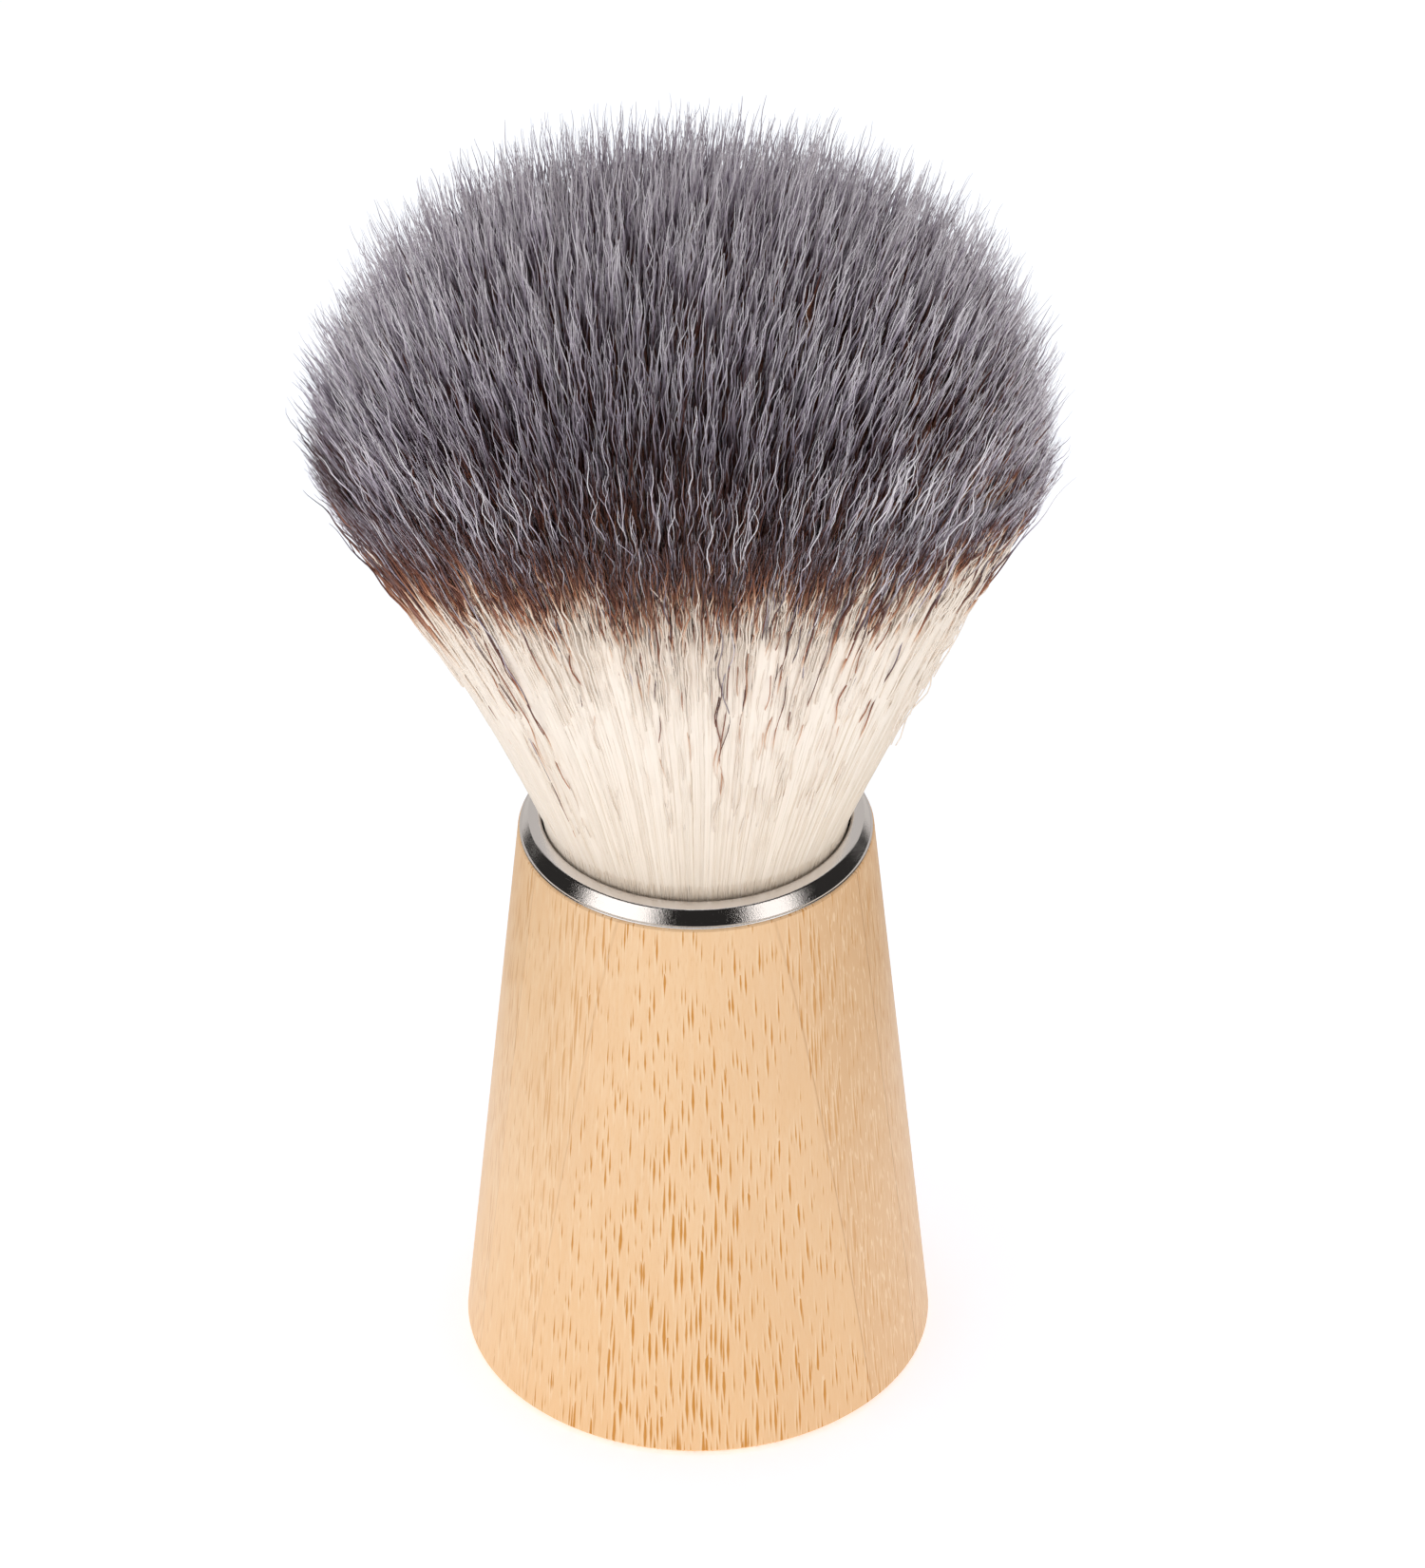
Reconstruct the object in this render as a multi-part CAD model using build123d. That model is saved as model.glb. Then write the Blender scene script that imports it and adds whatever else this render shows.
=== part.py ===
from build123d import *
from math import cos, radians, sin, sqrt, tan
import os

# A laminated bamboo shaving brush that stands on its base with the bristles up.
# Millimetres. The origin is the centre of the base, +Z runs up the axis, and the
# glued strips of the handle are stacked along Y, so -Y is the front.

# Handle: a cone turned from a block of flat bamboo strips
HANDLE_HEIGHT = 48.8
BASE_DIAMETER = 38.0
STRIP_COUNT = 6
BASE_EDGE_CHAMFER = 0.5
SHOULDER_CHAMFER = 0.12
SHOULDER_WALL = 1.15        # wood left around the collar's skirt

# Knot: a resin-bound bundle of fibres
KNOT_DIAMETER = 24.0
KNOT_CLEARANCE = 0.2        # radial gap between the knot and what holds it
ROOT_LENGTH = 14.0
ROOT_CHAMFER = 0.8
BACKING_THICKNESS = 1.2     # the slice of the root that the strands grow from
RESIN_SETBACK = 1.5         # depth of the resin below the top of the wood
GLUE_THICKNESS = 0.5

# Collar: a polished ring with a bead on the wood and a skirt in its counterbore
COLLAR_RISE = 1.75
COLLAR_INSET = 0.12         # from the edge of the wood to the flange
COLLAR_WALL = 0.6
COLLAR_CLEARANCE = 0.1
SKIRT_DEPTH = 5.0
FLANGE_THICKNESS = 0.22
FLANGE_STEP = 0.14          # from the flange in to the foot of the bead
BEAD_LEAN = 0.35            # how far the bead draws in from its foot to its shoulder
BEAD_FALL = 0.4             # drop from the lip out to the bead's shoulder
BEAD_CHAMFER = 0.2
LIP_CHAMFER = 0.25
SKIRT_CHAMFER = 0.2

# Fan: every strand runs straight up to the collar's lip and spreads above it
FAN_WIDTH = 58.4            # across the outermost tips, left to right
FAN_DEPTH = 46.0            # across the outermost tips, front to back
SIDE_RIM_HEIGHT = 34.4      # above the lip, as are the next two
FRONT_RIM_HEIGHT = 36.9
CROWN_HEIGHT = 60.0
CROWN_ROUNDNESS = 1.1
FAN_START_ANGLE = 22.6      # outermost strand at the lip, in degrees from the axis
STRAND_RINGS = 10
STRAND_FILL = 0.8           # strand width as a share of the pitch
STRAND_EMBED = 0.4          # depth of each strand in the resin
SHAPE_BREAK = 0.6           # share of a strand's height where its taper starts
TIP_SHARE = 0.14            # width of the tip as a share of the full width
TIP_SCATTER = 0.6           # how far a tip stands above or below the crown
SCATTER_WAVES = 14          # an even number keeps opposite strands alike
RING_TURN = 137.5           # degrees that each ring is turned past the last

# Worked out from the sizes above
KNOT_RADIUS = KNOT_DIAMETER / 2
SOCKET_RADIUS = KNOT_RADIUS + KNOT_CLEARANCE
SKIRT_RADIUS = SOCKET_RADIUS + COLLAR_WALL
COUNTERBORE_RADIUS = SKIRT_RADIUS + COLLAR_CLEARANCE
SHOULDER_RADIUS = COUNTERBORE_RADIUS + SHOULDER_WALL
BLOCK_WIDTH = max(BASE_DIAMETER, 2 * SHOULDER_RADIUS)
STRIP_THICKNESS = BLOCK_WIDTH / STRIP_COUNT
FLANGE_RADIUS = SHOULDER_RADIUS - COLLAR_INSET
LIP_Z = HANDLE_HEIGHT + COLLAR_RISE
RESIN_Z = HANDLE_HEIGHT - RESIN_SETBACK
ROOT_TOP_Z = RESIN_Z - BACKING_THICKNESS
ROOT_FLOOR_Z = ROOT_TOP_Z - ROOT_LENGTH
SOCKET_FLOOR_Z = ROOT_FLOOR_Z - GLUE_THICKNESS
COUNTERBORE_DEPTH = SKIRT_DEPTH + COLLAR_CLEARANCE
STRAND_PITCH = KNOT_RADIUS / (STRAND_RINGS + 0.5)
OUTER_RING_RADIUS = STRAND_RINGS * STRAND_PITCH


def disc(radius, floor_z, top_z):
    """A solid cylinder on the axis, between two heights."""
    return extrude(Plane.XY.offset(floor_z) * Circle(radius), amount=top_z - floor_z)


def turned(points, chamfers):
    """A solid of revolution: an outline of (radius, height) points and the cut at each corner."""
    corners = [Vector(radius, 0, height) for radius, height in points]
    outline = []
    for index, (corner, cut) in enumerate(zip(corners, chamfers)):
        beside = (corners[index - 1], corners[(index + 1) % len(corners)])
        outline += [corner + (end - corner).normalized() * cut for end in beside] if cut else [corner]
    return revolve(make_face(Polyline(*outline, close=True)), Axis.Z)


def make_handle_blank():
    """The turned cone, with the socket for the knot and the counterbore for the collar."""
    points = [
        (0, 0),
        (BASE_DIAMETER / 2, 0),
        (SHOULDER_RADIUS, HANDLE_HEIGHT),
        (0, HANDLE_HEIGHT),
    ]
    cone = turned(points, [0, BASE_EDGE_CHAMFER, SHOULDER_CHAMFER, 0])
    socket = disc(SOCKET_RADIUS, SOCKET_FLOOR_Z, HANDLE_HEIGHT)
    counterbore = disc(COUNTERBORE_RADIUS, HANDLE_HEIGHT - COUNTERBORE_DEPTH, HANDLE_HEIGHT)
    return cone - (socket + counterbore)


def make_strips():
    """The handle as its glued strips, from the front to the back."""
    blank = make_handle_blank()
    strips = []
    for index in range(STRIP_COUNT):
        middle = (index + 0.5) * STRIP_THICKNESS - BLOCK_WIDTH / 2
        slab = Pos(0, middle, HANDLE_HEIGHT / 2) * Box(BLOCK_WIDTH, STRIP_THICKNESS, HANDLE_HEIGHT)
        strips.append(blank & slab)
    return strips


def make_collar():
    """The ring: skirt, flange on the wood, and a bead that falls outwards from its lip."""
    foot_radius = FLANGE_RADIUS - FLANGE_STEP
    points = [
        (SOCKET_RADIUS, HANDLE_HEIGHT - SKIRT_DEPTH),
        (SKIRT_RADIUS, HANDLE_HEIGHT - SKIRT_DEPTH),
        (SKIRT_RADIUS, HANDLE_HEIGHT),
        (FLANGE_RADIUS, HANDLE_HEIGHT),
        (FLANGE_RADIUS, HANDLE_HEIGHT + FLANGE_THICKNESS),
        (foot_radius, HANDLE_HEIGHT + FLANGE_THICKNESS),
        (foot_radius - BEAD_LEAN, LIP_Z - BEAD_FALL),
        (SOCKET_RADIUS, LIP_Z),
    ]
    return turned(points, [0, SKIRT_CHAMFER, 0, 0, 0, 0, BEAD_CHAMFER, LIP_CHAMFER])


def spread(height):
    """How far the outer ring has moved out, left and right, at a height above the lip."""
    opening = tan(radians(FAN_START_ANGLE))
    growth_at_rim = FAN_WIDTH / 2 - OUTER_RING_RADIUS - opening * SIDE_RIM_HEIGHT
    return opening * height + growth_at_rim * (height / SIDE_RIM_HEIGHT) ** 2


def fan_scale(height):
    """The stretch of the bundle's section along X and Y at a height above the lip."""
    opened = spread(max(height, 0))
    depth_share = (FAN_DEPTH / 2 - OUTER_RING_RADIUS) / spread(FRONT_RIM_HEIGHT)
    return 1 + opened / OUTER_RING_RADIUS, 1 + depth_share * opened / OUTER_RING_RADIUS


def strand_height(radius, angle):
    """Height of a tip above the lip, from the crown of the fan down to its rim."""
    rim = SIDE_RIM_HEIGHT + (FRONT_RIM_HEIGHT - SIDE_RIM_HEIGHT) * sin(angle) ** 2
    inside = 1 - min(radius / OUTER_RING_RADIUS, 1) ** 2
    scatter = TIP_SCATTER * cos(SCATTER_WAVES * angle + radius / STRAND_PITCH)
    return rim + (CROWN_HEIGHT - rim) * inside**CROWN_ROUNDNESS + scatter


def strand_section(radius, angle, depth, breadth, height):
    """Corners of a strand's four-sided section, which grows by the fan's smaller stretch."""
    stretch_x, stretch_y = fan_scale(height)
    growth = min(stretch_x, stretch_y)
    centre = Vector(radius * cos(angle) * stretch_x, radius * sin(angle) * stretch_y, LIP_Z + height)
    outward = Vector(cos(angle), sin(angle)) * growth * depth / 2
    sideways = Vector(-sin(angle), cos(angle)) * growth * breadth / 2
    return [
        centre - outward - sideways,
        centre + outward - sideways,
        centre + outward + sideways,
        centre - outward + sideways,
    ]


def straight_loft(sections):
    """A solid through polygons whose matching edges are parallel, so every face is flat."""
    outlines = [sections[0], sections[-1]]
    for lower, upper in zip(sections, sections[1:]):
        for index, corner in enumerate(lower):
            outlines.append([corner, upper[index], upper[index - 1], lower[index - 1]])
    return Solid(Shell([Face(Wire.make_polygon(outline)) for outline in outlines]))


def make_strand(radius, angle, depth, breadth):
    """One strand, from inside the resin to its tapered tip."""
    root = RESIN_Z - STRAND_EMBED - LIP_Z
    tip = strand_height(radius, angle)
    stations = [(root, 1), (0, 1), (SHAPE_BREAK * tip, 1), (tip, TIP_SHARE)]
    return straight_loft(
        [
            strand_section(radius, angle, depth * taper, breadth * taper, height)
            for height, taper in stations
        ]
    )


def make_strands():
    """A centre strand, and rings of strands around it that each hold six more than the last."""
    depth = STRAND_FILL * STRAND_PITCH
    centre_room = sqrt(2) * (STRAND_PITCH - depth / 2)
    centre_side = min(depth, STRAND_FILL * centre_room)
    strands = [make_strand(0, 0, centre_side, centre_side)]
    for ring in range(1, STRAND_RINGS + 1):
        radius = ring * STRAND_PITCH
        step = radians(60 / ring)
        inner_room = 2 * (radius - depth / 2) * tan(step / 2)
        breadth = min(depth, STRAND_FILL * inner_room)
        for place in range(6 * ring):
            angle = radians(ring * RING_TURN) + place * step
            strands.append(make_strand(radius, angle, depth, breadth))
    return strands


def make_bristles():
    """The fan of strands, grown from the top slice of the knot's root."""
    return disc(KNOT_RADIUS, ROOT_TOP_Z, RESIN_Z).fuse(*make_strands())


def make_knot_root():
    """The resin-bound root of the bundle, eased at its lower edge to enter the socket."""
    points = [
        (0, ROOT_FLOOR_Z),
        (KNOT_RADIUS, ROOT_FLOOR_Z),
        (KNOT_RADIUS, ROOT_TOP_Z),
        (0, ROOT_TOP_Z),
    ]
    return turned(points, [0, ROOT_CHAMFER, 0, 0])


def make_knot_glue():
    """The bed of adhesive on the floor of the socket."""
    return disc(KNOT_RADIUS, SOCKET_FLOOR_Z, ROOT_FLOOR_Z)


pieces = {f"bamboo_strip_{index}": strip for index, strip in enumerate(make_strips(), start=1)}
pieces["collar"] = make_collar()
pieces["knot_glue"] = make_knot_glue()
pieces["knot_root"] = make_knot_root()
pieces["bristles"] = make_bristles()

os.makedirs("parts", exist_ok=True)
for name, piece in pieces.items():
    export_step(piece, f"parts/{name}.step")
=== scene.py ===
"""A shaving brush: laminated bamboo handle, polished collar and a full two-tone knot."""
import logging
import math
from dataclasses import dataclass
from enum import Enum
from typing import Any, Sequence

import bpy
import numpy as np
from bpy.types import Material, NodeSocket, Object
from mathutils import Matrix, Vector


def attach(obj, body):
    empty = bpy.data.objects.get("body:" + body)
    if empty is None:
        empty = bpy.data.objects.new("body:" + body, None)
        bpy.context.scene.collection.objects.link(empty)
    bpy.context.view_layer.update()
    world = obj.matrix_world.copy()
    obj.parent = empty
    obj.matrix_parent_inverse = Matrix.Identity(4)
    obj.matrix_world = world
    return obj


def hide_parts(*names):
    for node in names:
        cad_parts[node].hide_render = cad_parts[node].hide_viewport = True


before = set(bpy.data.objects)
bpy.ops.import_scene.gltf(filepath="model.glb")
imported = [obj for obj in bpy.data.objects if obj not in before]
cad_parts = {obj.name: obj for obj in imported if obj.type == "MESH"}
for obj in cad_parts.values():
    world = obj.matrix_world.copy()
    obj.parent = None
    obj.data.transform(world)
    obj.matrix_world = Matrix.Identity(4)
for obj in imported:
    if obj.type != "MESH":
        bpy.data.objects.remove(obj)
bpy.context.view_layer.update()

MM = 0.001
GOLDEN_ANGLE = 2.399963
LOG = logging.getLogger("shaving_brush")

Colour = tuple[float, float, float, float]
Point = tuple[float, float, float]
Span = tuple[float, float]
Array = np.ndarray
Luck = np.random.Generator


# ---------------------------------------------------------------- shader tools
def srgb(red: int, green: int, blue: int) -> Colour:
    """Turn a colour as a screen shows it, from 0 to 255, into linear values for a shader."""
    shares = (red / 255, green / 255, blue / 255)
    return (*(v / 12.92 if v <= 0.04045 else ((v + 0.055) / 1.055) ** 2.4 for v in shares), 1.0)


class Term:
    """A number that changes over a surface: a socket that takes part in Python arithmetic."""

    def __init__(self, tree: "NodeTree", socket: NodeSocket) -> None:
        """Wrap an output socket of a node in the given tree."""
        self.tree = tree
        self.socket = socket

    def math(self, operation: str, *values: Any) -> "Term":
        """Add a Math node on the given terms or numbers."""
        return self.tree.term("ShaderNodeMath", {"operation": operation}, dict(enumerate(values)))

    def __add__(self, other: Any) -> "Term":
        """Return self + other."""
        return self.math("ADD", self, other)

    __radd__ = __add__

    def __sub__(self, other: Any) -> "Term":
        """Return self - other."""
        return self.math("SUBTRACT", self, other)

    def __rsub__(self, other: Any) -> "Term":
        """Return other - self."""
        return self.math("SUBTRACT", other, self)

    def __mul__(self, other: Any) -> "Term":
        """Return self * other."""
        return self.math("MULTIPLY", self, other)

    def __truediv__(self, other: Any) -> "Term":
        """Return self / other."""
        return self.math("DIVIDE", self, other)

    def __abs__(self) -> "Term":
        """Return the size of the number without its sign."""
        return self.math("ABSOLUTE", self)

    def floor(self) -> "Term":
        """Round down to a whole number."""
        return self.math("FLOOR", self)

    def fraction(self) -> "Term":
        """Keep what is left after rounding down."""
        return self.math("FRACT", self)

    def step(self, low: Any, high: Any) -> "Term":
        """Rise smoothly from 0 at low to 1 at high, or fall where low is above high."""
        sockets = {0: (self - low) / (high - low), 1: 0.0, 2: 1.0, 3: 0.0, 4: 1.0}
        return self.tree.term("ShaderNodeMapRange", {"interpolation_type": "SMOOTHSTEP"}, sockets)


class NodeTree:
    """Builds the nodes of one material or of the world."""

    def __init__(self, tree: bpy.types.NodeTree) -> None:
        """Start on an emptied tree."""
        tree.nodes.clear()
        self.tree = tree

    def node(self, kind: str, settings: dict[str, Any] | None = None,
             sockets: dict[int | str, Any] | None = None) -> bpy.types.Node:
        """Add a node.

        Args:
            kind: The node's type.
            settings: Its properties, set first; "stops" are a ramp's places and colours.
            sockets: Values or links for its inputs, by name or number.

        Returns:
            The node.
        """
        node = self.tree.nodes.new(kind)
        for name, value in (settings or {}).items():
            if name == "stops":
                self._set_stops(node.color_ramp, value)
            else:
                setattr(node, name, value)
        for key, value in (sockets or {}).items():
            source = value.socket if isinstance(value, Term) else value
            if isinstance(source, NodeSocket):
                self.tree.links.new(source, node.inputs[key])
            else:
                node.inputs[key].default_value = source
        return node

    @staticmethod
    def _set_stops(ramp: bpy.types.ColorRamp, stops: Sequence[tuple[float, Colour]]) -> None:
        """Give a ramp its stops.

        Args:
            ramp: The ramp, with two stops so far.
            stops: A place from 0 to 1 and a colour for each stop, in any order.
        """
        while len(ramp.elements) < len(stops):
            ramp.elements.new(1.0)
        for element, (place, colour) in zip(ramp.elements, sorted(stops)):
            element.position, element.color = place, colour

    def term(self, kind: str, settings: dict[str, Any] | None = None,
             sockets: dict[int | str, Any] | None = None, output: int | str = 0) -> Term:
        """Add a node as node() does, and wrap one of its outputs as a number."""
        return Term(self, self.node(kind, settings, sockets).outputs[output])

    def blend(self, share: Term, first: Any, second: Any, way: str = "MIX") -> NodeSocket:
        """Mix a share of the second colour, from 0 to 1, into the first."""
        settings = {"data_type": "RGBA", "blend_type": way, "clamp_factor": True}
        return self.node("ShaderNodeMix", settings, {0: share, 6: first, 7: second}).outputs[2]

    def scaled(self, vector: Any, factors: Point, shift: Point = (0, 0, 0)) -> NodeSocket:
        """Scale a vector by axis, then move it."""
        settings = {"operation": "MULTIPLY_ADD"}
        return self.node("ShaderNodeVectorMath", settings, {0: vector, 1: factors, 2: shift}).outputs[0]

    def vector(self, operation: str, *values: Any) -> NodeSocket:
        """Add a Vector Math node on the given vectors, or for SCALE on a vector and a number."""
        sockets = dict(zip((0, 3) if operation == "SCALE" else (0, 1), values))
        return self.node("ShaderNodeVectorMath", {"operation": operation}, sockets).outputs[0]

    def measure(self, operation: str, *values: Any) -> Term:
        """Add a Vector Math node whose result is a number."""
        sockets = dict(enumerate(values))
        return self.term("ShaderNodeVectorMath", {"operation": operation}, sockets, "Value")

    def parts(self, vector: Any) -> tuple[Term, Term, Term]:
        """Split a vector into its three numbers."""
        split = self.node("ShaderNodeSeparateXYZ", sockets={0: vector})
        return tuple(Term(self, output) for output in split.outputs)

    def joined(self, *numbers: Any) -> NodeSocket:
        """Make a vector of three numbers."""
        return self.node("ShaderNodeCombineXYZ", sockets=dict(enumerate(numbers))).outputs[0]

    def noise(self, vector: Any, scale: float, detail: float = 2.0, rough: float = 0.5) -> Term:
        """Read a noise texture, from 0 to 1, at a vector."""
        sockets = {"Vector": vector, "Scale": scale, "Detail": detail, "Roughness": rough}
        return self.term("ShaderNodeTexNoise", None, sockets)


class Paint(NodeTree):
    """A material being built."""

    def __init__(self, name: str) -> None:
        """Make the material, with no nodes so far.

        Args:
            name: The material's name.
        """
        self.material = bpy.data.materials.new(name)
        self.material.use_nodes = True
        super().__init__(self.material.node_tree)

    def show(self, shader: bpy.types.Node) -> Material:
        """Send a shader to the material's output, and return the material."""
        self.node("ShaderNodeOutputMaterial", sockets={"Surface": shader.outputs[0]})
        return self.material


class Surface(Paint):
    """A material being built round one Principled shader."""

    def __init__(self, name: str, **uniform: Any) -> None:
        """Make the material.

        Args:
            name: The material's name.
            uniform: Values of the shader's sockets that are the same all over.
        """
        super().__init__(name)
        self.shader = self.node("ShaderNodeBsdfPrincipled")
        self.show(self.shader)
        for socket, value in uniform.items():
            self.shader.inputs[socket.replace("_", " ")].default_value = value

    def feed(self, socket: str, value: Any) -> None:
        """Link something that changes over the surface to one of the shader's sockets."""
        source = value.socket if isinstance(value, Term) else value
        self.tree.links.new(source, self.shader.inputs[socket])

    def emboss(self, height: Term, depth: float, strength: float) -> None:
        """Raise the surface by a height from 0 to 1, times a depth in metres, as a bump."""
        sockets = {"Strength": strength, "Distance": depth, "Height": height}
        self.feed("Normal", self.node("ShaderNodeBump", None, sockets).outputs[0])

    def place(self) -> NodeSocket:
        """Return where a point of the object is, in millimetres."""
        position = self.node("ShaderNodeTexCoord").outputs["Object"]
        return self.scaled(position, (1 / MM,) * 3)


# ---------------------------------------------------------------- finishes
@dataclass(frozen=True)
class BambooFinish:
    """Turned and lacquered bamboo, whose fibre bundles run up through the glued strips."""

    strip: float = 38.0 / 6  # thickness of a strip
    half_block: float = 19.0  # from the front of the block to the axis
    flesh: Colour = srgb(244, 201, 152)
    pale: Colour = srgb(251, 219, 180)
    dash: Colour = srgb(206, 134, 14)
    warm: Colour = srgb(242, 194, 138)
    # Serves both for random cloudy tone and for painted shade on the right of the handle.
    shade: Colour = srgb(229, 184, 136)
    glue: Colour = srgb(176, 120, 64)
    cell: float = 0.42  # from one fibre bundle to the next
    roughness: float = 0.42
    relief: float = 0.00002

    def build(self) -> Material:
        """Make the material.

        Returns:
            The material, which reads the object's own place and so runs on from strip to strip.
        """
        s = Surface("lacquered_bamboo", Coat_Weight=0.25, Coat_Roughness=0.3)
        place = s.place()
        x, y, z = s.parts(place)
        across = (y + self.half_block) / self.strip
        strip = across.floor()
        inward = across.fraction()
        skin = self._skin(y, inward)
        # Behind the front strip, the dashes fade towards both flanks.
        behind = strip.step(0.4, 0.6)
        flank = x.step(5.0, 12.0) * behind
        faint = flank * 0.45 + x.step(-5.0, -11.0) * behind * 0.5
        tone = s.term("ShaderNodeTexWhiteNoise", {"noise_dimensions": "1D"}, {"W": strip})

        sway = s.noise(s.scaled(place, (0.12, 0.12, 0.035)), 1.0) - 0.5
        swayed = s.joined(x + sway * 1.4, y + sway * 0.9, 0.0)
        bundle = self._bundles(s, swayed, place, skin, 1.0)
        beside = self._bundles(s, s.scaled(swayed, (1, 1, 1), (0.13, 0.03, 0)), place, skin, 1.3)

        streak = s.noise(s.scaled(place, (2.4, 2.4, 0.2)), 1.0, 3.0, 0.6)
        fine = s.noise(s.scaled(place, (8.0, 8.0, 0.45)), 1.0, 2.0, 0.6)
        fleck = s.noise(s.scaled(place, (5.0, 5.0, 0.7)), 1.0, 1.0, 0.5)
        cloud = s.noise(s.scaled(place, (0.16, 0.16, 0.05)), 1.0)

        colour = s.blend(streak.step(0.3, 0.75) * 0.4, self.flesh, self.pale)
        colour = s.blend(fine.step(0.5, 0.8) * 0.22, colour, self.dash)
        colour = s.blend(cloud.step(0.35, 0.8) * 0.3 + tone * 0.12, colour, self.shade)
        colour = s.blend(z.step(26.0, 0.0) * 0.45, colour, self.warm)
        # Painted shade: the handle darkens towards its right side, and more on the right flank, where
        # less light falls.
        colour = s.blend(flank * 0.55 + x.step(1.0, 9.0) * 0.32, colour, self.shade)
        colour = s.blend(fleck.step(0.6, 0.72) * (flank * 0.6 + 0.12), colour, self.pale)
        colour = s.blend(beside * 0.5, colour, self.pale)
        colour = s.blend(bundle * (1 - faint), colour, self.dash)
        line = (abs(inward - 0.5) * -1 + 0.5) * self.strip
        seam = line.step(0.08, 0.02) * (streak.step(0.3, 0.6) * 0.5 + 0.5)
        colour = s.blend(seam * (flank * 0.4 + 0.22), colour, self.glue)
        s.feed("Base Color", colour)
        s.feed("Roughness", self.roughness + streak * 0.08 - bundle * 0.05)
        s.emboss(streak * 0.4 - bundle * 0.6, self.relief, 0.5)
        return s.material

    @staticmethod
    def _skin(y: Term, inward: Term) -> Term:
        """Grow from 0 inside a stalk's wall to 1 at its skin, which the outer strips turn out."""
        back = y.step(-0.01, 0.01)
        return back * inward + (1 - back) * (1 - inward)

    def _bundles(self, s: Surface, flat: Any, place: Any, skin: Term, grown: float) -> Term:
        """Cut across the fibre bundles, which the cone's slope draws out into pointed dashes.

        Args:
            s: The material being built.
            flat: The place across the stalk, in millimetres.
            place: The place on the handle, in millimetres.
            skin: How near the stalk's skin is.
            grown: How much wider than real the bundles are.

        Returns:
            1 inside a bundle and 0 between bundles.
        """
        sockets = {"Vector": flat, "Scale": 1 / self.cell, "Randomness": 1.0}
        cells = s.node("ShaderNodeTexVoronoi", {"voronoi_dimensions": "2D"}, sockets)
        luck, size, _ = s.parts(cells.outputs["Color"])
        away = s.vector("SUBTRACT", flat, cells.outputs["Position"])
        axis = s.vector("NORMALIZE", s.scaled(place, (1, 1, 0)))
        outward = s.measure("DOT_PRODUCT", away, axis)
        across = s.vector("SUBTRACT", away, s.vector("SCALE", axis, outward))
        width = s.measure("LENGTH", across)
        blunt = outward.math("MAXIMUM", outward, 0.0)
        pointed = outward.math("MINIMUM", outward, 0.0)
        gap = width + blunt * 0.75 - pointed * 0.45
        reach = (0.055 + size * size * 0.085) * (skin * 0.9 + 0.72) * grown
        there = luck.step(0.34 - skin * 0.5, 0.42 - skin * 0.5)
        return gap.step(reach, reach * 0.55) * there * (size * 0.25 + 0.75)


@dataclass(frozen=True)
class ChromeFinish:
    """Polished metal with a fine orange peel and a few scuffs from polishing."""

    metal: Colour = srgb(226, 225, 226)
    roughness: float = 0.03
    relief: float = 0.00002

    def build(self) -> Material:
        """Make the material.

        Returns:
            The material.
        """
        s = Surface("polished_chrome", Metallic=1.0, Base_Color=self.metal)
        place = s.place()
        peel = s.noise(place, 10.0, 2.0, 0.7)
        scuff = s.noise(s.scaled(place, (2.0, 2.0, 14.0)), 1.6, 4.0, 0.7)
        s.feed("Roughness", self.roughness + scuff.step(0.5, 0.8) * 0.22)
        s.emboss(peel, self.relief, 0.6)
        return s.material


@dataclass(frozen=True)
class ResinFinish:
    """Amber resin that binds the root of the knot, clouded by the fibres in it."""

    clear: Colour = srgb(226, 192, 138)
    cloudy: Colour = srgb(198, 156, 102)
    milky: Colour = srgb(238, 214, 170)
    relief: float = 0.00003

    def build(self) -> Material:
        """Make the material.

        Returns:
            The material.
        """
        s = Surface("amber_resin", Coat_Weight=0.4, Coat_Roughness=0.15)
        place = s.place()
        hairs = s.noise(s.scaled(place, (5.0, 5.0, 0.3)), 1.0, 3.0, 0.6)
        mist = s.noise(place, 0.35, 3.0, 0.5)
        colour = s.blend(hairs.step(0.35, 0.75), self.clear, self.cloudy)
        s.feed("Base Color", s.blend(mist * 0.3, colour, self.milky))
        s.feed("Roughness", 0.3 + mist * 0.15)
        s.emboss(hairs, self.relief, 0.4)
        return s.material


class Shade(Enum):
    """The bands of a dyed hair, by their distance from a pale tip in millimetres; the last is cream
    darkened by painted shade near the collar.
    """

    TIP = (0.0, srgb(252, 247, 253))
    LAVENDER = (1.5, srgb(216, 206, 221))
    GREY = (3.8, srgb(170, 160, 175))
    SMOKE = (5.8, srgb(110, 92, 101))
    EARTH = (7.2, srgb(104, 71, 68))
    BLACK = (9.4, srgb(112, 69, 57))
    UMBER = (11.2, srgb(154, 101, 78))
    RUST = (12.6, srgb(184, 128, 97))
    STRAW = (13.7, srgb(234, 198, 170))
    CREAM = (15.2, srgb(253, 240, 227))
    IVORY = (30.0, srgb(253, 242, 230))
    # Painted shade: the cream darkens towards the root, where the collar shades the hair.
    ROOT = (56.0, srgb(243, 228, 210))


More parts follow.
